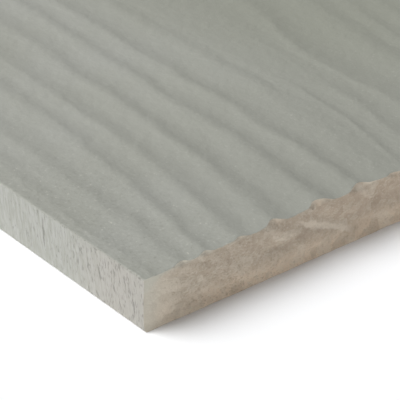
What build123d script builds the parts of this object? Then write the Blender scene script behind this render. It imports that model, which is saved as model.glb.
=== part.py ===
"""Fibre cement cladding board: one length of lap board, lying on its back with the painted face up.

Frame, in millimetres: +X runs along the board, +Y across its width and +Z up through its thickness.
The origin is the middle of the back, so the back lies in the plane z = 0.
"""

import os

from build123d import *

# Driving dimensions
LENGTH = 3600.0
WIDTH = 190.0
THICKNESS = 10.0
FACE_ARRIS = 0.3  # radius along the long edges of the painted face, where the paint rounds the cut arris
BACK_ARRIS = 0.4  # bevel along the long edges of the back, where the saw's burr is taken off

with BuildPart() as cladding_board:
    # The section across the board: the back along the bottom, the painted face along the top
    with BuildSketch(Plane.YZ) as section:
        Rectangle(WIDTH, THICKNESS, align=(Align.CENTER, Align.MIN))
        fillet(section.vertices().group_by(Axis.Y)[-1], radius=FACE_ARRIS)
        chamfer(section.vertices().group_by(Axis.Y)[0], length=BACK_ARRIS)
    # Both ends are cut square, straight from the section
    extrude(amount=LENGTH / 2, both=True)

cladding_board.part.label = "cladding_board"

os.makedirs("parts", exist_ok=True)
export_step(cladding_board.part, "parts/cladding_board.step")
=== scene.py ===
"""Looks of the fibre cement cladding board: embossed painted face, streaked edges, raw broken ends.

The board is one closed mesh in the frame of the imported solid. Its forms are worked out in millimetres:
s is the distance from the near end, v the distance from the near long edge, z the height above the back
and q the depth below the face. The near end and edge are those that meet at the corner in the photograph.
"""

import bpy
import numpy as np
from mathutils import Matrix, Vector


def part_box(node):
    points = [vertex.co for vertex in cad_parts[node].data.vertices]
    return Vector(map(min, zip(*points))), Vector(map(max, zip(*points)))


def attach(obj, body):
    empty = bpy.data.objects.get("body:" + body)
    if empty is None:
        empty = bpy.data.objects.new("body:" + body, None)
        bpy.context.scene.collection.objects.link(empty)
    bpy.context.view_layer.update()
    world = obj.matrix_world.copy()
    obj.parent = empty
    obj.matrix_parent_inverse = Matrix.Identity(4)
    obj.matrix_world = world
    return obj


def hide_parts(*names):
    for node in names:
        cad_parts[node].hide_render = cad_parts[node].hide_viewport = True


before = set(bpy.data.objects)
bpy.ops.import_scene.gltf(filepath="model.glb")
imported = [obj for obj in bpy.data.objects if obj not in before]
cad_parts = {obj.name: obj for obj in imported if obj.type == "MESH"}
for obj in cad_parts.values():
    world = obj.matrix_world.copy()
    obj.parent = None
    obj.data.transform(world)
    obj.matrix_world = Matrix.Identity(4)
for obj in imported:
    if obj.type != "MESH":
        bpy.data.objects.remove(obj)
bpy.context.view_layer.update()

MM = 0.001
NODE = "cladding_board"
low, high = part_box(NODE)
LENGTH, WIDTH, THICKNESS = (high - low) / MM

# Section of a long edge: the radius at the face, the bevel at the back, and the points up the edge and round
# the radius. One more point lies where the bevel meets the back
FACE_ARRIS = 0.3
BACK_ARRIS = 0.4
EDGE_ROWS = 24
ARC_STEPS = 4
SECTION_POINTS = 1 + EDGE_ROWS + ARC_STEPS

# Stations along the board: steps of a set size as far as a place, then steps that grow towards the middle
NEAR_STEPS = ((5.0, 0.4), (42.0, 0.7), (100.0, 1.2))
NEAR_GROWTH = 1.15
FAR_STEPS = ((4.0, 0.8),)
FAR_GROWTH = 1.3
LONGEST_STEP = 36.0

# Grain of the emboss. A line is where the face falls away most steeply: its distances from the near edge at
# the grain stations along the board, and how steep it is, as a slope
GRAIN_STATIONS = np.array([0.0, 19.0, 43.0, 72.0])
GRAIN_LINES = [
    ((1.7, 2.8, 3.7, 4.3), 0.08),
    ((8.2, 9.7, 10.8, 11.5), 0.1),
    ((13.2, 16.8, 19.6, 21.4), 0.17),
    ((20.2, 23.4, 25.8, 27.4), 0.13),
    ((28.9, 31.9, 34.1, 35.7), 0.165),
    ((38.9, 41.0, 42.5, 43.5), 0.17),
    ((47.4, 48.6, 49.5, 50.0), 0.18),
    ((53.6, 57.8, 59.8, 59.2), 0.1),
    ((56.5, 61.4, 63.8, 64.3), 0.12),
    ((61.8, 66.4, 68.6, 71.5), 0.12),
    ((72.5, 73.4, 74.2, 81.2), 0.17),
    ((81.2, 85.0, 88.4, 94.7), 0.1),
    ((87.0, 90.8, 94.0, 100.5), 0.1),
]

# Lines, by their number in that list, that start or stop some way from the near end, and the length over
# which they fade
LATE_STARTS = {7: 31.0}
EARLY_STOPS = {8: 31.0, 9: 25.0}
FADE_LENGTH = 12.0

# Random lines from there to the far edge: the range of their gaps and of their slopes, and the margin left
# at that edge
LINE_GAPS = (6.0, 10.0)
LINE_SLOPES = (0.08, 0.17)
LAST_LINE_MARGIN = 4.0
LINE_SEED = 11

# Course of the lines along the board. Past the last grain station they level off, then wander in long waves,
# and they keep a least gap. A wave has its reach, its lengths along and across the board, and its start
LEVEL_LENGTH = 40.0
WANDER_LENGTH = 260.0
WANDER = ((7.0, 210.0, 45.0, 0.0), (5.0, 97.0, -60.0, 1.3))
LEAST_GAP = 2.0

# The near end's own detail gives way to plainer detail over this length
NEAR_LENGTH = 120.0

# Unevenness of the lines, by the near end and further on: how much, the length over which it changes, how
# unlike the next line it is, and its seed
NEAR_WAVER = ((0.6, 13.0, 1.7, 21), (0.6, 4.0, 3.1, 22))
FAR_WAVER = ((0.8, 110.0, 1.7, 23),)
NEAR_SLOPE_CHANGE = ((0.3, 14.0, 2.3, 31),)
FAR_SLOPE_CHANGE = ((0.45, 240.0, 5.7, 32),)
FAR_SLOPE_LOSS = 0.1
SOFTNESS_CHANGE = ((0.5, 16.0, 2.9, 33),)
MEAN_SOFTNESS = 0.5

# Strength of the slopes, with a gain by the near end that fades out between two stations
RELIEF = 1.1
NEAR_GAIN = 0.2
NEAR_GAIN_FADE = (35.0, 70.0)

# The wave from one line to the next: shares of the gap, and the slope there as a share of the line's slope.
# The back of a crisp wave is long and even, and its front falls away sharply to the next line. A soft wave
# falls away over a wider band
CRISP_WAVE = ((0.0, 0.03, 0.38, 0.75, 0.97, 1.0), (-1.0, -1.0, 0.53, 0.53, -1.0, -1.0))
SOFT_WAVE = ((0.0, 0.2, 0.6, 0.75, 0.95, 1.0), (-0.7, -0.6, 0.6, 0.6, -0.7, -0.7))
WAVE_SAMPLES = 1000

# Columns of the mesh from one line to the next, for the lines by the corner and for the random ones
FINE_COLUMNS = 14
PLAIN_COLUMNS = 6

# The face lies below the top of the solid, so that its crests stay inside. Its unevenness between the lines:
# height, the lengths over which it changes along and across, and seed. Across, the streaks count in columns
CREST_DROP = 0.3
FACE_SWELL = (0.05, 30.0, 16.0, 41)
FACE_RIPPLE = (0.03, 3.6, 2.4, 42)
FACE_STREAKS = (0.012, 9.0, 1.7, 43)

# Streaks through the thickness of a long edge: how far they lean for each millimetre of height, then their
# mean depth, the lengths over which they change along and up the edge, and seed, counted from the edge's own
STREAK_LEAN = 0.14
EDGE_STREAKS = (0.04, 1.6, 7.0, 0)
NEAR_EDGE_SEED = 51
FAR_EDGE_SEED = 52

# Broken ends. All of an end lies behind the end plane by the setback, and further by its dents: mean depth,
# the lengths over which they change across and down the end, and seed, counted from the end's own. The swell
# starts at a place in its random field that suits the photograph, and the nicks are only at the foot
NEAR_END_SEED = 60
FAR_END_SEED = 80
END_SETBACK = 0.04
END_SWELL = (0.2, 15.0, 8.0, 1)
SWELL_START = 1982.5
LARGE_FACETS = (0.14, 6.0, 3.5, 2)
SMALL_FACETS = (0.09, 2.1, 1.5, 3)
END_GRIT = (0.04, 0.8, 0.7, 4)
FOOT_NICKS = (0.08, 1.5, 1.0, 8)
FOOT_HEIGHT = 1.6

# The cosine and sine of the facets' slant, and the share of facets and grit by the long edge, which grows
# to 1 between two distances from it
SLANT_COSINE = 0.8
SLANT_SINE = 0.6
CORNER_SHARE = 0.3
CORNER_RANGE = (3.0, 11.0)

# Towards the back the dents fade out in a smooth step over a height. At the back itself a small share of the
# step is still to go
BACK_FADE = 1.8
BACK_SHARE = 0.12

# A ledge runs from one place to another on the end, each given by v and q. What is above it lies further
# back by its step, which is taken up over the slant's height, and beyond its ends it fades out. Its line
# wobbles by a reach over a length
LEDGES = [
    ((33.0, 2.3), (44.4, 8.0), 0.3),
    ((25.5, 1.7), (33.0, 4.3), 0.35),
    ((92.8, 1.0), (113.0, 6.6), 0.7),
    ((128.5, 7.1), (152.7, 1.5), 0.6),
]
LEDGE_SLANT = 1.8
LEDGE_FADE = 5.0
LEDGE_WOBBLE = 0.2
LEDGE_WOBBLE_LENGTH = 4.5
LEDGE_SEED = 10

# A hollow under the second ledge: its middle and its reach by v and q, and its depth
HOLLOW_MIDDLE = (28.0, 4.9)
HOLLOW_REACH = (3.2, 1.2)
HOLLOW_DEPTH = 0.4

# Chips out of the paint along a broken end: where a chip starts, where it reaches furthest along the face,
# where it stops, and that reach
CHIPS = [
    (5.0, 8.5, 10.4, 0.7),
    (10.2, 12.9, 16.6, 0.6),
    (16.4, 20.1, 24.5, 0.55),
    (24.9, 27.9, 31.2, 1.2),
    (30.7, 32.3, 34.3, 0.9),
    (33.6, 36.3, 43.1, 0.95),
    (42.9, 47.0, 51.2, 1.3),
]

# Random chips from there to the far edge: the range of the gap before one, its length, where it reaches
# furthest as a share of its length, and that reach
CHIP_GAPS = (0.0, 1.5)
CHIP_LENGTHS = (4.0, 9.0)
CHIP_PEAKS = (0.2, 0.5)
CHIP_REACHES = (0.4, 1.2)
CHIP_SEED = 7

# Wear of the arris, with nicks of a reach, a length and a seed. Wear and chips grow over the first stretch
# from the long edge, and they reach less far with depth, by the slant
ARRIS_WEAR = 0.22
ARRIS_NICKS = ((0.14, 1.9, 6), (0.08, 0.9, 9))
ARRIS_START = 2.0
CHIP_SLANT = 1.4

# Mesh: how far along the board an end's dents pull its points, the columns inside the back, and the angle in
# degrees past which an edge is sharp
END_REACH = 8.0
BACK_COLUMNS = 4
SHARP_ANGLE = 38.0

# Points along one side of a random field's table
LATTICE = 256

# Bands of painted light and painted shade on the broken ends: paler bands are painted light on ledges and
# facets that face the light, darker bands are painted shade under ledges and in hollows. Each runs from one
# place to another, each given by v and q, with how far it reaches above and below that line, and its
# lightness, above 0 for painted light and below 0 for painted shade
PAINTED_LIGHT_BANDS = [
    ((32.4, 2.2), (44.6, 8.1), 0.85, 0.65),
    ((25.1, 1.4), (33.4, 4.3), 0.8, 0.25),
    ((26.7, 2.8), (30.0, 4.2), 0.35, 0.55),
    ((24.2, 3.1), (30.9, 5.8), 1.6, -0.4),
    ((45.4, 0.4), (48.5, 2.5), 1.1, 0.4),
    ((1.2, 8.6), (5.4, 7.0), 1.6, 0.5),
    ((5.4, 9.3), (9.5, 7.1), 1.2, -0.3),
    ((92.8, 1.0), (113.0, 6.6), 0.8, 0.9),
    ((95.7, 3.1), (104.3, 5.7), 1.0, -0.6),
    ((128.5, 7.1), (152.7, 1.5), 0.7, 0.8),
]
PAINTED_LIGHT_FADE = 2.0

# Cracks in the paint of a long edge: from one place to another, each given by q and s, and how far each
# reaches to both sides
CRACKS = [
    ((5.0, 3.1), (8.1, 2.7), 0.22),
    ((1.9, 5.5), (4.2, 5.0), 0.2),
    ((0.4, 6.5), (1.8, 6.4), 0.2),
    ((2.9, 8.0), (3.8, 7.9), 0.25),
    ((4.8, 8.3), (6.6, 7.7), 0.25),
    ((3.3, 12.1), (5.9, 11.7), 0.25),
    ((8.4, 12.7), (9.5, 12.3), 0.25),
    ((2.3, 16.9), (3.5, 16.4), 0.2),
    ((1.5, 27.6), (7.1, 27.2), 0.25),
    ((0.4, 28.8), (1.7, 28.6), 0.2),
    ((6.0, 32.5), (7.0, 32.5), 0.3),
]
CRACK_FADE = 0.8
CRACK_SHARE = 0.6

# A band is full over a share of its reach. Its ends fade in from outside by a share of the fade
BAND_CORE = 0.3
BAND_LEAD = 0.5

# Other values in the materials: how much clusters crowd the pits of a long edge, how much the distance from
# the long edge counts beside the depth where spray reaches a broken end, and the mean of noise
CLUSTER_SHARE = 0.25
SPRAY_SHARE = 0.7
NOISE_MEAN = 0.5

# Colours, as display values from 0 to 255
PAINT = (151, 152, 144)
PAINT_LIGHT = (156, 157, 151)
PAINT_DARK = (128, 129, 121)
PAINT_PALE = (172, 173, 167)
# Painted shade: the face's paint is darker over the middle of its width by the near end, for light that
# falls off there
PAINT_MIDDLE_SHADE = (135, 137, 126)
# Painted shade, laid on the face near both ends and on the arris of each long edge
PAINT_PAINTED_SHADE = (141, 142, 134)
# Overspray of paint, also laid under the face of a broken end as painted light on the walls of the chips
PAINT_SPRAY_AND_LIGHT = (188, 186, 174)
# Painted shade in the pits and cracks of a long edge
EDGE_PIT_SHADE = (104, 104, 97)
EDGE_LIGHT = (164, 164, 159)
EDGE_WORN = (163, 158, 151)
CORE = (183, 171, 155)
CORE_LIGHT = (200, 192, 177)
# Dark grit of the core, and also painted shade in the darker bands of a broken end
CORE_DARK_AND_SHADE = (156, 142, 125)
CORE_DEEP = (175, 160, 143)
# Painted light: the foot of a broken end is lightened against the shade of the floor's shadow there
CORE_LOW_PAINTED_LIGHT = (214, 195, 173)
# Painted light on the paler bands of a broken end
CORE_PAINTED_LIGHT = (212, 201, 185)
BACK_COAT = (188, 182, 170)
BACK_COAT_DARK = (172, 165, 152)

# Materials of the board, in the order of its material slots
FACE, EDGE, RAW, BACK = range(4)

# Sockets of a mix node that take and give colours: they come after those for numbers and vectors
MIX_FIRST = 6
MIX_SECOND = 7
MIX_RESULT = 2

# Floor and sky, in linear values. The floor lies a little lower than the back, so that they share no plane
FLOOR_COLOUR = (0.966, 0.972, 0.985, 1.0)
FLOOR_SIZE = 60000.0
FLOOR_DROP = 0.02
WHITE = (1.0, 1.0, 1.0, 1.0)
SKY_LEVEL = 0.03

# Lamps: the way to the lamp, its strength, its size in degrees, and whether it casts shadows. The lamp below
# lets the back be seen from under the floor, which would shade it
LAMPS = {
    "key": ((-0.385, -0.54, 0.748), 4.1, 51.0, True),
    "fill": ((0.93, -0.36, 0.06), 1.5, 24.0, True),
    "under": ((0.0, 0.0, -1.0), 1.2, 12.0, False),
}

# Camera: where it stands from the top of the near corner, the way it looks in degrees, and its lens
EYE_FROM_CORNER = Vector((196.4, -147.9, 154.2))
AZIMUTH = 51.03
ELEVATION = 29.7
LENS = 169.9
SENSOR = 36.0
CLIP_START = 10.0


def ease(t):
    """Smooth step from 0 to 1."""
    t = np.clip(t, 0.0, 1.0)
    return t * t * (3.0 - 2.0 * t)


def rise(x, start, stop):
    """Smooth step from 0 at the start to 1 at the stop."""
    return ease((x - start) / (stop - start))


def near_share(s, length):
    """1 at the near end, falling to 0 along the board."""
    return np.exp(-((s / length) ** 2))


def lattice(x, y, seed):
    """Random values at the corners of each place's cell, and how far across and along it the place is."""
    table = np.random.default_rng(seed).uniform(-1.0, 1.0, (LATTICE, LATTICE))
    x, y = np.broadcast_arrays(np.asarray(x, float), np.asarray(y, float))
    column, row = np.floor(x).astype(int), np.floor(y).astype(int)

    def corner(i, j):
        return table[(column + i) % LATTICE, (row + j) % LATTICE]

    return corner, x - column, y - row


def noise(x, y, seed):
    """Smooth random field from -1 to 1 that changes over about one unit."""
    corner, across, along = lattice(x, y, seed)
    across, along = ease(across), ease(along)
    first = corner(0, 0) * (1 - across) + corner(1, 0) * across
    second = corner(0, 1) * (1 - across) + corner(1, 1) * across
    return first * (1 - along) + second * along


def facets(x, y, seed):
    """Random field from -1 to 1 of flat three-sided patches about one unit long that meet in creases."""
    corner, across, along = lattice(x, y, seed)
    upper = across + along > 1
    apex, right, left = corner(upper, upper), corner(1, 0), corner(0, 1)
    to_right = np.where(upper, 1 - along, across)
    to_left = np.where(upper, 1 - across, along)
    return apex + to_right * (right - apex) + to_left * (left - apex)


def unevenness(x, y, form):
    """Random heights, up and down: their size, their lengths in x and y, and their seed."""
    height, x_length, y_length, seed = form
    return height * noise(x / x_length, y / y_length, seed)


def dents(x, y, form, first_seed, field=noise):
    """Random depths, never below 0: their mean, their lengths in x and y, and their seed after the first."""
    depth, x_length, y_length, seed = form
    return depth * (1 + field(x / x_length, y / y_length, first_seed + seed))


def line_changes(s, number, forms):
    """Random changes along the lines: how much, over what length, how unlike the next line, and the seed."""
    return sum(most * noise(s / length, number * apart, seed) for most, length, apart, seed in forms)


def run_of_stations(steps, growth):
    """Places from an end to the middle of the board: set steps first, then growing ones."""
    places = [0.0]
    step = steps[-1][1]
    while places[-1] < LENGTH / 2:
        set_steps = [size for reach, size in steps if places[-1] < reach]
        step = set_steps[0] if set_steps else min(step * growth, LONGEST_STEP)
        places.append(places[-1] + step)
    return np.array(places[:-1])


def all_stations():
    """Stations from the near end to the far end."""
    near = run_of_stations(NEAR_STEPS, NEAR_GROWTH)
    far = LENGTH - run_of_stations(FAR_STEPS, FAR_GROWTH)
    return np.concatenate([near, far[::-1]])


def all_lines():
    """The lines by the corner, then random ones as far as the other edge."""
    rng = np.random.default_rng(LINE_SEED)
    lines = [(np.array(places), slope) for places, slope in GRAIN_LINES]
    last_start = WIDTH - LAST_LINE_MARGIN
    while True:
        places = lines[-1][0]
        start = places[0] + rng.uniform(*LINE_GAPS)
        if start > last_start:
            return lines
        shrink = (last_start - start) / (last_start - places[0])
        lines.append((start + shrink * (places - places[0]), rng.uniform(*LINE_SLOPES)))


def line_path(places, s):
    """A smooth curve through a line's places at the grain stations, which levels off beyond the last."""
    tangents = np.gradient(places, GRAIN_STATIONS)
    last = len(GRAIN_STATIONS) - 1
    inner = np.minimum(s, GRAIN_STATIONS[last])
    k = np.clip(np.searchsorted(GRAIN_STATIONS, inner, side="right") - 1, 0, last - 1)
    span = GRAIN_STATIONS[k + 1] - GRAIN_STATIONS[k]
    t = (inner - GRAIN_STATIONS[k]) / span
    path = places[k] + (places[k + 1] - places[k]) * ease(t)
    path = path + span * t * (1 - t) * (tangents[k] * (1 - t) - tangents[k + 1] * t)
    beyond = s - inner
    return path + tangents[last] * LEVEL_LENGTH * (1 - np.exp(-beyond / LEVEL_LENGTH))


def line_places(lines, stations):
    """The distance of each line from the near edge, one row for each station."""
    s = stations[:, None]
    number = np.arange(len(lines))[None, :]
    places = np.stack([line_path(line, stations) for line, slope in lines], axis=1)
    inside = np.sin(np.pi * np.clip(places / WIDTH, 0, 1))
    waves = [reach * np.sin(s / along + places / across + start) for reach, along, across, start in WANDER]
    wander = sum(waves)
    settled = 1 - near_share(s, WANDER_LENGTH)
    close = near_share(s, NEAR_LENGTH)
    places = places + settled * inside * wander + close * line_changes(s, number, NEAR_WAVER)
    places = places + (1 - close) * line_changes(s, number, FAR_WAVER)
    for k in range(1, len(lines)):
        places[:, k] = np.maximum(places[:, k], places[:, k - 1] + LEAST_GAP)
    places[:, -1] = np.minimum(places[:, -1], WIDTH - FACE_ARRIS - LEAST_GAP)
    for k in range(len(lines) - 2, -1, -1):
        places[:, k] = np.minimum(places[:, k], places[:, k + 1] - LEAST_GAP)
    return places


def line_slopes(lines, stations):
    """The slope of each line at each station. Some lines fade in or out."""
    s = stations[:, None]
    number = np.arange(len(lines))[None, :]
    close = near_share(s, NEAR_LENGTH)
    change = close * line_changes(s, number, NEAR_SLOPE_CHANGE)
    change = change + (1 - close) * (line_changes(s, number, FAR_SLOPE_CHANGE) - FAR_SLOPE_LOSS)
    strength = RELIEF * (1 + NEAR_GAIN * (1 - rise(s, *NEAR_GAIN_FADE)))
    slopes = strength * np.array([slope for places, slope in lines]) * (1 + change)
    for line, start in LATE_STARTS.items():
        slopes[:, line] *= rise(stations, start, start + FADE_LENGTH)
    for line, stop in EARLY_STOPS.items():
        slopes[:, line] *= 1 - rise(stations, stop, stop + FADE_LENGTH)
    return slopes


def wave_heights(wave, count):
    """Heights at even shares of the gap from one line to the next, for a gap and a slope of 1."""
    shares = np.linspace(0, 1, WAVE_SAMPLES + 1)
    slopes = np.interp(shares, *wave)
    slopes = slopes - slopes.mean()
    heights = np.concatenate([[0], np.cumsum((slopes[1:] + slopes[:-1]) / 2)]) / WAVE_SAMPLES
    return np.interp(np.arange(count) / count, shares, heights)


def face_columns(stations):
    """Distances from the near edge and heights of the face, one row for each station.

    The columns follow the grain lines, so crests and valleys stay crisp however long the step.
    """
    lines = all_lines()
    ones = np.ones((len(stations), 1))
    places = np.hstack([ones * FACE_ARRIS, line_places(lines, stations), ones * (WIDTH - FACE_ARRIS)])
    slopes = np.hstack([ones * 0.0, line_slopes(lines, stations), ones * 0.0])
    columns, heights = [], []
    for k in range(len(lines) + 1):
        gap = places[:, k + 1] - places[:, k]
        count = FINE_COLUMNS if k < len(GRAIN_LINES) else PLAIN_COLUMNS
        soft = MEAN_SOFTNESS + line_changes(stations, k, SOFTNESS_CHANGE)
        waves = zip(wave_heights(CRISP_WAVE, count), wave_heights(SOFT_WAVE, count))
        for number, (crisp_height, soft_height) in enumerate(waves):
            share = number / count
            slope = slopes[:, k] * (1 - share) + slopes[:, k + 1] * share
            columns.append(places[:, k] + share * gap)
            heights.append(slope * gap * (crisp_height + soft * (soft_height - crisp_height)))
    columns.append(places[:, -1])
    heights.append(ones[:, 0] * 0.0)
    v, height = np.stack(columns, axis=1), np.stack(heights, axis=1)
    s = stations[:, None]
    number = np.arange(v.shape[1])[None, :]
    ripple = unevenness(s, number, FACE_STREAKS) + unevenness(s, v, FACE_RIPPLE)
    height = height + unevenness(s, v, FACE_SWELL) + near_share(s, NEAR_LENGTH) * ripple
    return v, np.minimum(THICKNESS - CREST_DROP + height, THICKNESS)


def edge_section():
    """The v and z of an edge's points, from the back up to the face."""
    rows = np.linspace(BACK_ARRIS, THICKNESS - FACE_ARRIS, EDGE_ROWS)
    angles = np.radians(90.0) * np.arange(1, ARC_STEPS + 1) / ARC_STEPS
    v = np.concatenate([[BACK_ARRIS], np.zeros(EDGE_ROWS), FACE_ARRIS * (1 - np.cos(angles))])
    z = np.concatenate([[0.0], rows, THICKNESS - FACE_ARRIS + FACE_ARRIS * np.sin(angles)])
    return v, z


def edge_streaks(s, z, seed):
    """Shallow streaks through the thickness of a painted long edge."""
    return dents(s - STREAK_LEAN * z, z, EDGE_STREAKS, seed)


def ledge_recess(v, q, ledge, seed):
    """How far back one ledge puts the part of the end above it."""
    (start, start_depth), (stop, stop_depth), step = ledge
    line = start_depth + (stop_depth - start_depth) * (v - start) / (stop - start)
    line = line + LEDGE_WOBBLE * noise(v / LEDGE_WOBBLE_LENGTH, 0.0, seed)
    beside = rise(v, start - LEDGE_FADE, start) * (1 - rise(v, stop + LEDGE_FADE, stop + 2 * LEDGE_FADE))
    return step * beside * ease((line - q) / LEDGE_SLANT)


def hollow_recess(v, q):
    """How far back the hollow lies."""
    across = (v - HOLLOW_MIDDLE[0]) / HOLLOW_REACH[0]
    down = (q - HOLLOW_MIDDLE[1]) / HOLLOW_REACH[1]
    return HOLLOW_DEPTH * np.exp(-(across**2) - down**2)


def all_chips(seed):
    """The chips by the corner, then random ones as far as the other edge."""
    rng = np.random.default_rng(seed)
    chips = list(CHIPS)
    while chips[-1][2] < WIDTH - CHIP_LENGTHS[1]:
        start = chips[-1][2] + rng.uniform(*CHIP_GAPS)
        length = rng.uniform(*CHIP_LENGTHS)
        deepest = start + length * rng.uniform(*CHIP_PEAKS)
        chips.append((start, deepest, start + length, rng.uniform(*CHIP_REACHES)))
    return chips


def chip_recess(v, q, seed):
    """How far back the worn and chipped arris lies, less with depth below the face."""
    reach = ARRIS_WEAR
    for most, length, nick_seed in ARRIS_NICKS:
        reach = reach + most * facets(v / length, 0.0, seed + nick_seed)
    for start, deepest, stop, most in all_chips(seed + CHIP_SEED):
        reach = reach + most * np.interp(v, (start, deepest, stop), (0.0, 1.0, 0.0))
    return np.maximum(ease(v / ARRIS_START) * reach - CHIP_SLANT * q, 0)


def end_recess(v, q, seed):
    """How far the broken end lies behind the end plane."""
    along = SLANT_COSINE * v + SLANT_SINE * q
    across = SLANT_COSINE * q - SLANT_SINE * v
    broken = dents(along, across, LARGE_FACETS, seed, facets)
    broken = broken + dents(along, across, SMALL_FACETS, seed, facets)
    broken = broken + dents(v, q, END_GRIT, seed)
    share = CORNER_SHARE + (1 - CORNER_SHARE) * rise(v, *CORNER_RANGE)
    recess = dents(v + SWELL_START, q, END_SWELL, seed) + share * broken
    for number, ledge in enumerate(LEDGES):
        recess = recess + ledge_recess(v, q, ledge, seed + LEDGE_SEED + number)
    recess = recess + hollow_recess(v, q) + chip_recess(v, q, seed)
    foot = dents(v, 0.0, FOOT_NICKS, seed) * rise(q, THICKNESS - FOOT_HEIGHT, THICKNESS)
    return END_SETBACK + foot + recess * ease((THICKNESS - q) / BACK_FADE + BACK_SHARE)


def board_points(stations):
    """Points of the strip round the face and both long edges, and the number of columns on the face.

    The strip has a row for each station: up the near edge, across the face, down the far edge.
    """
    face_v, face_z = face_columns(stations)
    edge_v, edge_z = edge_section()
    s = stations[:, None]
    near_z = edge_z * face_z[:, :1] / THICKNESS
    far_z = edge_z[::-1] * face_z[:, -1:] / THICKNESS
    inside = (edge_z > 2 * BACK_ARRIS) & (edge_z < THICKNESS - FACE_ARRIS)
    near_v = edge_v + inside * edge_streaks(s, edge_z, NEAR_EDGE_SEED)
    far_v = WIDTH - edge_v[::-1] - inside[::-1] * edge_streaks(s, edge_z[::-1], FAR_EDGE_SEED)
    v = np.hstack([near_v, face_v[:, 1:-1], far_v])
    z = np.hstack([near_z, face_z[:, 1:-1], far_z])
    near_reach = np.clip(1 - s / END_REACH, 0, 1)
    far_reach = np.clip(1 - (LENGTH - s) / END_REACH, 0, 1)
    places = s + near_reach * end_recess(v, THICKNESS - z, NEAR_END_SEED)
    places = places - far_reach * end_recess(WIDTH - v, THICKNESS - z, FAR_END_SEED)
    return np.stack([places, v, z], axis=2), face_v.shape[1]


def split_row(row, columns):
    """The parts of a row of the strip: up the near edge, the face between the edges, and up the far edge."""
    last = SECTION_POINTS + columns - 2
    return row[:SECTION_POINTS], row[SECTION_POINTS:last], row[last:][::-1]


def end_points(strip_row, columns, from_far):
    """Grid of points over one end, rows from the back to the face, inside the strip's own row."""
    heights = edge_section()[1] / THICKNESS
    left, face, right = split_row(strip_row, columns)
    top = np.vstack([left[-1:], face, right[-1:]])
    v = np.tile(top[:, 1], (SECTION_POINTS, 1))
    z = heights[:, None] * top[:, 2][None, :]
    if from_far:
        s = LENGTH - end_recess(WIDTH - v, THICKNESS - z, FAR_END_SEED)
    else:
        s = end_recess(v, THICKNESS - z, NEAR_END_SEED)
    grid = np.stack([s, v, z], axis=2)
    grid[:, 0], grid[:, -1], grid[-1] = left, right, top
    return grid


class MeshParts:
    """Points and faces of a mesh, gathered piece by piece."""

    def __init__(self):
        self.points = []
        self.faces = []
        self.materials = []

    def add_points(self, points):
        """Adds points in millimetres and returns their numbers."""
        first = len(self.points)
        s, v, z = np.asarray(points).T
        self.points.extend(zip((LENGTH / 2 - s) * MM, (v - WIDTH / 2) * MM, z * MM))
        return np.arange(first, first + len(points))

    def add_face(self, corners, material, flip):
        """Adds a face with its corners in order, or in the other order to flip it."""
        corners = [int(c) for c in corners]
        self.faces.append(corners[::-1] if flip else corners)
        self.materials.append(material)

    def add_grid(self, numbers, material_of, flip=False):
        """Quads over a grid of point numbers. material_of gives the material for each column."""
        for a in range(len(numbers) - 1):
            for b in range(len(numbers[0]) - 1):
                corners = [numbers[a][b], numbers[a][b + 1], numbers[a + 1][b + 1], numbers[a + 1][b]]
                self.add_face(corners, material_of(b), flip)

    def add_fans(self, chain, coarse, material, flip=False):
        """Triangles between a fine chain and a coarse row of points that share their ends."""
        places = np.array([self.points[n][1] for n in coarse])
        at = 1
        for first, second in zip(chain[:-1], chain[1:]):
            middle = (self.points[first][1] + self.points[second][1]) / 2
            while at < len(coarse) - 2 and middle > (places[at] + places[at + 1]) / 2:
                self.add_face([coarse[at], coarse[at + 1], first], material, flip)
                at += 1
            self.add_face([second, first, coarse[at]], material, flip)


def add_strip(parts, points):
    """Adds the face and both long edges, and returns the numbers of their points."""
    rows, columns = points.shape[:2]
    numbers = parts.add_points(points.reshape(-1, 3)).reshape(rows, columns)
    first = SECTION_POINTS - ARC_STEPS // 2
    on_face = range(first, columns - first)
    parts.add_grid(numbers, lambda b: FACE if b in on_face else EDGE)
    return numbers


def add_end(parts, strip_row, strip_numbers, columns, from_far):
    """Adds a broken end, which shares its rim with the strip, and returns the numbers along its foot."""
    grid = end_points(strip_row, columns, from_far)
    numbers = np.zeros(grid.shape[:2], int)
    numbers[:, 0], numbers[-1, 1:-1], numbers[:, -1] = split_row(strip_numbers, columns)
    inner = grid[:-1, 1:-1]
    numbers[:-1, 1:-1] = parts.add_points(inner.reshape(-1, 3)).reshape(inner.shape[:2])
    parts.add_grid(numbers, lambda b: RAW, flip=from_far)
    return numbers[0]


def add_back(parts, stations, strip, near_foot, far_foot):
    """Adds the back: a coarse grid, and fans from its ends to the finer points round the broken ends."""
    flat = np.flatnonzero((stations >= END_REACH) & (stations <= LENGTH - END_REACH))
    across = np.linspace(0, WIDTH, BACK_COLUMNS + 2)[1:-1]
    inner = [parts.add_points([(stations[i], v, 0.0) for v in across]) for i in flat]
    back = np.array([[strip[i][0], *row, strip[i][-1]] for i, row in zip(flat, inner)])
    parts.add_grid(back, lambda b: BACK, flip=True)
    first, last = flat[0], flat[-1]
    near_chain = [*strip[1 : first + 1, 0][::-1], *near_foot, *strip[1 : first + 1, -1]]
    far_chain = [*strip[last:-1, 0], *far_foot, *strip[last:-1, -1][::-1]]
    parts.add_fans(near_chain, back[0], BACK)
    parts.add_fans(far_chain, back[-1], BACK, flip=True)


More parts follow.
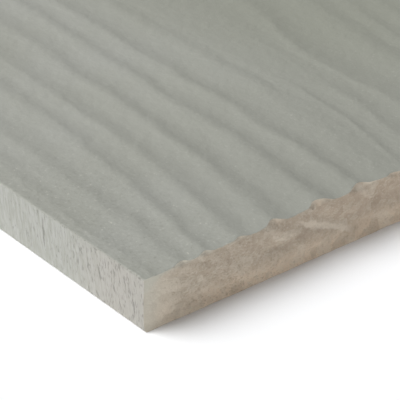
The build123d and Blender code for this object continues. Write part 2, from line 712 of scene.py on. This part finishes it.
def make_board():
    """The board, with a material number on each face and no materials yet."""
    stations = all_stations()
    points, columns = board_points(stations)
    parts = MeshParts()
    strip = add_strip(parts, points)
    near_foot = add_end(parts, points[0], strip[0], columns, from_far=False)
    far_foot = add_end(parts, points[-1], strip[-1], columns, from_far=True)
    add_back(parts, stations, strip, near_foot, far_foot)
    mesh = bpy.data.meshes.new("embossed_board")
    mesh.from_pydata(parts.points, [], parts.faces)
    mesh.polygons.foreach_set("material_index", parts.materials)
    mesh.shade_smooth()
    mesh.set_sharp_from_angle(angle=np.radians(SHARP_ANGLE))
    board = bpy.data.objects.new("embossed_board", mesh)
    bpy.context.scene.collection.objects.link(board)
    return board


def linear(colour):
    """A colour of display values from 0 to 255, as linear values with alpha."""
    display = np.array(colour) / 255.0
    values = np.where(display <= 0.04045, display / 12.92, ((display + 0.055) / 1.055) ** 2.4)
    return (*values.tolist(), 1.0)


class Shader:
    """A material with one Principled surface, built node by node, with all sizes in millimetres."""

    def __init__(self, name, roughness, specular):
        self.material = bpy.data.materials.new(name)
        self.material.use_nodes = True
        self.tree = self.material.node_tree
        self.surface = self.tree.nodes["Principled BSDF"]
        self.surface.inputs["Roughness"].default_value = roughness
        self.surface.inputs["Specular IOR Level"].default_value = specular
        metres = self.add("ShaderNodeTexCoord").outputs["Object"]
        self.place = self.add("ShaderNodeMapping", Vector=metres, Scale=(1 / MM,) * 3).outputs[0]
        axes = self.add("ShaderNodeSeparateXYZ", Vector=self.place)
        half_length, half_width = LENGTH / 2, WIDTH / 2
        self.from_end = self.calc("SUBTRACT", half_length, self.calc("ABSOLUTE", axes.outputs["X"]))
        self.from_near_end = self.calc("SUBTRACT", half_length, axes.outputs["X"])
        self.from_edge = self.calc("SUBTRACT", half_width, self.calc("ABSOLUTE", axes.outputs["Y"]))
        self.below_face = self.calc("SUBTRACT", THICKNESS, axes.outputs["Z"])
        side = self.calc("SIGN", axes.outputs["X"])
        self.across = self.calc("MULTIPLY_ADD", axes.outputs["Y"], side, half_width)

    def add(self, kind, **inputs):
        """A new node, with its inputs linked or set by name."""
        node = self.tree.nodes.new(kind)
        for name, value in inputs.items():
            self.put(node.inputs[name.replace("_", " ")], value)
        return node

    def put(self, socket, value):
        """Links an input to another node's output, or sets its value."""
        if isinstance(value, bpy.types.NodeSocket):
            self.tree.links.new(value, socket)
        else:
            socket.default_value = value

    def calc(self, operation, *values, kind="ShaderNodeMath"):
        """The result of a sum on numbers or, with the other kind of node, on vectors."""
        node = self.tree.nodes.new(kind)
        node.operation = operation
        for socket, value in zip(node.inputs, values):
            self.put(socket, value)
        return node.outputs[0]

    def times(self, first, second):
        """One number times another."""
        return self.calc("MULTIPLY", first, second)

    def ramp(self, value, over, gives=(0.0, 1.0)):
        """Smooth step of a value over one range, which gives the ends of another."""
        node = self.add("ShaderNodeMapRange", Value=value)
        node.interpolation_type = "SMOOTHSTEP"
        for name, number in zip(("From Min", "From Max", "To Min", "To Max"), (*over, *gives)):
            node.inputs[name].default_value = number
        return node.outputs[0]

    def mix(self, share, first, second):
        """A share of the second colour over the first. Each is display values or another node's output."""
        node = self.tree.nodes.new("ShaderNodeMix")
        node.data_type = "RGBA"
        self.put(node.inputs["Factor"], share)
        for socket, colour in ((MIX_FIRST, first), (MIX_SECOND, second)):
            self.put(node.inputs[socket], linear(colour) if isinstance(colour, tuple) else colour)
        return node.outputs[MIX_RESULT]

    def noise(self, size, detail=2.0, place=None):
        """Smooth noise with lumps of about this size."""
        vector = self.place if place is None else place
        return self.add("ShaderNodeTexNoise", Vector=vector, Scale=1.0 / size, Detail=detail).outputs[0]

    def cells(self, size, place):
        """Patches of about this size with straight sides, each with its own value."""
        return self.add("ShaderNodeTexVoronoi", Vector=place, Scale=1.0 / size).outputs["Color"]

    def warped(self, size, reach):
        """The place on the object, pushed about by noise."""
        push = self.add("ShaderNodeTexNoise", Vector=self.place, Scale=1.0 / size).outputs["Color"]
        return self.calc("MULTIPLY_ADD", push, (reach,) * 3, self.place, kind="ShaderNodeVectorMath")

    def stretched(self, turn, scale):
        """The place on the object, turned about Y, then scaled along each axis."""
        turned = self.add("ShaderNodeMapping", Vector=self.place, Rotation=(0.0, turn, 0.0))
        return self.add("ShaderNodeMapping", Vector=turned.outputs[0], Scale=scale).outputs[0]

    def ragged(self, value, size, reach):
        """A value pushed up and down by noise."""
        push = self.calc("SUBTRACT", self.noise(size, detail=3.0), NOISE_MEAN)
        return self.calc("MULTIPLY_ADD", push, reach, value)

    def band(self, along, off, start, stop, reach, fade):
        """1 on a line between two places, given by their values of along and off, and 0 beyond its reach."""
        slant = (stop[1] - start[1]) / (stop[0] - start[0])
        line = self.calc("MULTIPLY_ADD", along, slant, start[1] - slant * start[0])
        away = self.calc("ABSOLUTE", self.calc("SUBTRACT", off, line))
        lead = BAND_LEAD * fade
        beside = self.ramp(away, over=(BAND_CORE * reach, reach), gives=(1.0, 0.0))
        after = self.ramp(along, over=(start[0] - lead, start[0] + fade))
        before = self.ramp(along, over=(stop[0] - fade, stop[0] + lead), gives=(1.0, 0.0))
        return self.times(beside, self.times(after, before))

    def bump(self, height, depth, below=None, strength=1.0):
        """Bumps of this depth, over those below."""
        node = self.add("ShaderNodeBump", Height=height, Distance=depth * MM, Strength=strength)
        if below is not None:
            self.put(node.inputs["Normal"], below)
        return node.outputs[0]

    def finish(self, colour, normal):
        """The material, with its colour and bumps in place."""
        self.put(self.surface.inputs["Base Color"], colour)
        self.put(self.surface.inputs["Normal"], normal)
        return self.material


def face_paint():
    """Matt paint in faint patches with a fine peel, with painted shade by the near end, and speckled by the
    corners.
    """
    shader = Shader("face_paint", roughness=0.65, specular=0.25)
    patches = shader.noise(size=28.0, detail=3.0)
    speckle = shader.noise(size=0.55, detail=3.0)
    colour = shader.mix(shader.ramp(patches, over=(0.3, 0.7)), PAINT, PAINT_LIGHT)
    # Painted shade: darker over the middle of the width, fading out along the board from the near end
    middle = shader.times(
        shader.ramp(shader.across, over=(40.0, 88.0)),
        shader.ramp(shader.from_near_end, over=(80.0, 700.0), gives=(1.0, 0.0)),
    )
    colour = shader.mix(middle, colour, PAINT_MIDDLE_SHADE)
    # Painted shade: darker towards the middle of the width near both ends, and faintly all over
    end_shade = shader.times(
        shader.ramp(shader.from_edge, over=(2.0, 48.0), gives=(0.25, 1.0)),
        shader.ramp(shader.from_end, over=(0.0, 60.0), gives=(1.0, 0.25)),
    )
    colour = shader.mix(end_shade, colour, PAINT_PAINTED_SHADE)
    by_corner = shader.times(
        shader.ramp(shader.from_edge, over=(5.0, 30.0), gives=(1.0, 0.3)),
        shader.ramp(shader.from_end, over=(25.0, 60.0), gives=(1.0, 0.3)),
    )
    spots = (
        (PAINT_DARK, (0.53, 0.75), 0.45),
        (PAINT_PALE, (0.47, 0.25), 0.4),
        (PAINT_SPRAY_AND_LIGHT, (0.32, 0.25), 0.8),
    )
    for spot_colour, levels, most in spots:
        share = shader.times(by_corner, shader.ramp(speckle, over=levels, gives=(0.0, most)))
        colour = shader.mix(share, colour, spot_colour)
    lumps = shader.bump(shader.noise(size=2.4, detail=1.0), depth=0.16)
    peel = shader.bump(shader.noise(size=0.9, detail=3.0), depth=0.04, below=lumps)
    normal = shader.bump(speckle, depth=0.04, below=peel)
    return shader.finish(colour, normal)


def edge_paint():
    """Paint on a long edge: streaked through the thickness, pitted and cracked, and worn by the ends, with
    painted shade in its pits, cracks and arris.
    """
    shader = Shader("edge_paint", roughness=0.65, specular=0.25)
    streak_place = shader.stretched(turn=STREAK_LEAN, scale=(1.0, 1.0, 0.16))
    cluster_place = shader.stretched(turn=STREAK_LEAN, scale=(1.0, 1.0, 0.35))
    pit_place = shader.stretched(turn=STREAK_LEAN, scale=(1.0, 1.0, 0.25))
    streaks = shader.noise(size=0.4, detail=3.0, place=streak_place)
    clusters = shader.noise(size=2.6, place=cluster_place)
    pits = shader.noise(size=0.26, detail=1.5, place=pit_place)
    by_corner = shader.ramp(shader.from_end, over=(8.0, 26.0), gives=(-0.03, -0.08))
    crowd = shader.calc("MULTIPLY_ADD", clusters, CLUSTER_SHARE, by_corner)
    pit_share = shader.ramp(shader.calc("ADD", pits, crowd), over=(0.65, 0.8), gives=(0.0, 0.48))
    side = shader.ragged(shader.from_end, size=0.9, reach=0.9)
    for start, stop, reach in CRACKS:
        crack = shader.band(shader.below_face, side, start, stop, reach, CRACK_FADE)
        pit_share = shader.calc("MAXIMUM", pit_share, shader.times(crack, CRACK_SHARE))
    worn = shader.ramp(shader.from_end, over=(6.0, 24.0), gives=(0.6, 0.0))
    # Painted shade along the arris, darkening the top of the edge where its rounding would catch a highlight
    arris = shader.ramp(shader.below_face, over=(0.3, 0.7), gives=(0.7, 0.0))
    colour = shader.mix(shader.ramp(streaks, over=(0.35, 0.7)), PAINT, EDGE_LIGHT)
    colour = shader.mix(worn, colour, EDGE_WORN)
    colour = shader.mix(arris, colour, PAINT_PAINTED_SHADE)
    # Painted shade: the pits and cracks are darkened in colour for the shade inside them, beside their bumps
    colour = shader.mix(pit_share, colour, EDGE_PIT_SHADE)
    lines = shader.bump(streaks, depth=0.2)
    normal = shader.bump(shader.calc("SUBTRACT", 1.0, pit_share), depth=0.12, below=lines)
    return shader.finish(colour, normal)


def raw_core():
    """Bare cement of a broken end: lumps and grit, bands of painted light and painted shade, a foot
    lightened as painted light, and spray at the painted sides.
    """
    shader = Shader("raw_core", roughness=0.85, specular=0.2)
    layered = shader.stretched(turn=0.0, scale=(1.0, 0.6, 1.0))
    pushed = shader.warped(size=1.6, reach=1.4)
    patches = shader.noise(size=5.0, detail=3.0)
    grit = shader.noise(size=0.9, detail=5.0, place=layered)
    grains = shader.noise(size=0.3, detail=1.0, place=layered)
    away = shader.times(
        shader.ramp(shader.from_edge, over=(2.0, 11.0), gives=(0.5, 1.0)),
        shader.ramp(shader.from_edge, over=(20.0, 38.0), gives=(1.0, 0.65)),
    )
    deep = shader.ramp(shader.from_edge, over=(6.0, 50.0))
    # Painted light, lightening the lower half of the end towards its foot
    low_down_light = shader.ramp(shader.below_face, over=(5.0, 10.0))
    by_edge = shader.ramp(shader.from_edge, over=(6.0, 16.0), gives=(0.5, 0.0))
    colour = shader.mix(deep, CORE, CORE_DEEP)
    colour = shader.mix(low_down_light, colour, CORE_LOW_PAINTED_LIGHT)
    colour = shader.mix(by_edge, colour, CORE_LIGHT)
    lumps = (
        (shader.cells(size=2.8, place=pushed), 0.55, 0.95, 0.35, 1.0),
        (shader.cells(size=1.2, place=pushed), 0.55, 0.95, 0.3, 1.0),
        (grit, 0.5, 0.75, 0.4, away),
        (grains, 0.58, 0.7, 0.5, away),
    )
    for field, start, stop, most, where in lumps:
        pale = shader.times(where, shader.ramp(field, over=(start, stop), gives=(0.0, most)))
        dull = shader.times(where, shader.ramp(field, over=(1 - start, 1 - stop), gives=(0.0, most)))
        colour = shader.mix(pale, colour, CORE_LIGHT)
        colour = shader.mix(dull, colour, CORE_DARK_AND_SHADE)
    depth = shader.ragged(shader.below_face, size=4.5, reach=3.0)
    depth = shader.ragged(depth, size=1.0, reach=0.9)
    # Painted light and painted shade in bands along the ledges, facets and hollows
    for start, stop, reach, lightness in PAINTED_LIGHT_BANDS:
        share = shader.band(shader.across, depth, start, stop, reach, PAINTED_LIGHT_FADE)
        share = shader.times(share, abs(lightness))
        colour = shader.mix(share, colour, CORE_PAINTED_LIGHT if lightness > 0 else CORE_DARK_AND_SHADE)
    corner = shader.calc("ADD", shader.times(shader.from_edge, SPRAY_SHARE), shader.below_face)
    corner = shader.calc("ADD", corner, patches)
    fringe = shader.ragged(shader.below_face, size=1.3, reach=1.2)
    # A ragged fringe of paint colour under the face, which is also painted light that lightens the walls of
    # the chips
    fringe_and_light = shader.times(
        shader.ramp(fringe, over=(0.2, 1.0), gives=(0.5, 0.0)),
        shader.ramp(shader.from_edge, over=(8.0, 26.0), gives=(1.0, 0.4)),
    )
    at_corner = shader.ramp(corner, over=(2.9, 4.4), gives=(0.75, 0.0))
    at_edge = shader.ramp(shader.from_edge, over=(0.5, 4.5), gives=(0.55, 0.0))
    for share in (at_corner, at_edge, fringe_and_light):
        colour = shader.mix(share, colour, PAINT_SPRAY_AND_LIGHT)
    rough = shader.bump(grit, depth=0.18, strength=away)
    normal = shader.bump(grains, depth=0.08, below=rough, strength=away)
    return shader.finish(colour, normal)


def back_coat():
    """Thin pale coat of the back, in patches over a fine texture."""
    shader = Shader("back_coat", roughness=0.8, specular=0.2)
    patches = shader.noise(size=40.0, detail=4.0)
    weave = shader.noise(size=1.2, detail=3.0)
    colour = shader.mix(shader.ramp(patches, over=(0.3, 0.7)), BACK_COAT, BACK_COAT_DARK)
    normal = shader.bump(weave, depth=0.12)
    return shader.finish(colour, normal)


def make_floor():
    """A pale floor that takes the shadow. It is clear from below, so that the back can be seen."""
    half = FLOOR_SIZE * MM / 2
    corners = [(-half, -half, 0), (half, -half, 0), (half, half, 0), (-half, half, 0)]
    mesh = bpy.data.meshes.new("floor")
    mesh.from_pydata(corners, [], [(0, 1, 2, 3)])
    floor = bpy.data.objects.new("floor", mesh)
    floor.location.z = -FLOOR_DROP * MM
    bpy.context.scene.collection.objects.link(floor)
    material = bpy.data.materials.new("floor")
    material.use_nodes = True
    tree = material.node_tree
    surface = tree.nodes["Principled BSDF"]
    surface.inputs["Base Color"].default_value = FLOOR_COLOUR
    surface.inputs["Roughness"].default_value = 1.0
    surface.inputs["Specular IOR Level"].default_value = 0.0
    clear = tree.nodes.new("ShaderNodeBsdfTransparent")
    side = tree.nodes.new("ShaderNodeNewGeometry")
    both = tree.nodes.new("ShaderNodeMixShader")
    tree.links.new(side.outputs["Backfacing"], both.inputs[0])
    tree.links.new(surface.outputs[0], both.inputs[1])
    tree.links.new(clear.outputs[0], both.inputs[2])
    tree.links.new(both.outputs[0], tree.nodes["Material Output"].inputs["Surface"])
    mesh.materials.append(material)


def make_lamps():
    """The lamps, each of them far away."""
    for name, (way, strength, size, shadow) in LAMPS.items():
        sun = bpy.data.lights.new(name, "SUN")
        sun.energy = strength
        sun.angle = np.radians(size)
        sun.use_shadow = shadow
        lamp = bpy.data.objects.new(name, sun)
        lamp.rotation_mode = "QUATERNION"
        lamp.rotation_quaternion = Vector(way).to_track_quat("Z", "Y")
        bpy.context.scene.collection.objects.link(lamp)


def seen_share(tree):
    """1 for what the camera sees, straight or in a reflection, and 0 for light that falls on things."""
    path = tree.nodes.new("ShaderNodeLightPath")
    seen = path.outputs["Is Camera Ray"]
    for name in ("Is Glossy Ray", "Is Transmission Ray"):
        largest = tree.nodes.new("ShaderNodeMath")
        largest.operation = "MAXIMUM"
        tree.links.new(seen, largest.inputs[0])
        tree.links.new(path.outputs[name], largest.inputs[1])
        seen = largest.outputs[0]
    return seen


def make_world():
    """A white backdrop, and faint light from all round."""
    world = bpy.data.worlds.new("studio")
    bpy.context.scene.world = world
    world.use_nodes = True
    tree = world.node_tree
    sky = tree.nodes["Background"]
    sky.inputs["Color"].default_value = WHITE
    sky.inputs["Strength"].default_value = SKY_LEVEL
    backdrop = tree.nodes.new("ShaderNodeBackground")
    backdrop.inputs["Color"].default_value = WHITE
    backdrop.inputs["Strength"].default_value = 1.0
    both = tree.nodes.new("ShaderNodeMixShader")
    tree.links.new(seen_share(tree), both.inputs[0])
    tree.links.new(sky.outputs[0], both.inputs[1])
    tree.links.new(backdrop.outputs[0], both.inputs[2])
    tree.links.new(both.outputs[0], tree.nodes["World Output"].inputs["Surface"])


def make_camera():
    """The camera at the photograph's viewing angle."""
    camera = bpy.data.cameras.new("camera")
    camera.lens = LENS
    camera.sensor_width = SENSOR
    camera.clip_start = CLIP_START * MM
    eye = bpy.data.objects.new("camera", camera)
    azimuth, elevation = np.radians(AZIMUTH), np.radians(ELEVATION)
    back = Vector((
        np.sin(azimuth) * np.cos(elevation),
        -np.cos(azimuth) * np.cos(elevation),
        np.sin(elevation),
    ))
    eye.location = Vector((high.x, low.y, high.z)) + EYE_FROM_CORNER * MM
    eye.rotation_mode = "QUATERNION"
    eye.rotation_quaternion = (-back).to_track_quat("-Z", "Y")
    bpy.context.scene.collection.objects.link(eye)
    bpy.context.scene.camera = eye


board = make_board()
for material in (face_paint(), edge_paint(), raw_core(), back_coat()):
    board.data.materials.append(material)
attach(board, "root")
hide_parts(NODE)
make_floor()
make_lamps()
make_world()
make_camera()
bpy.context.scene.view_settings.view_transform = "Standard"
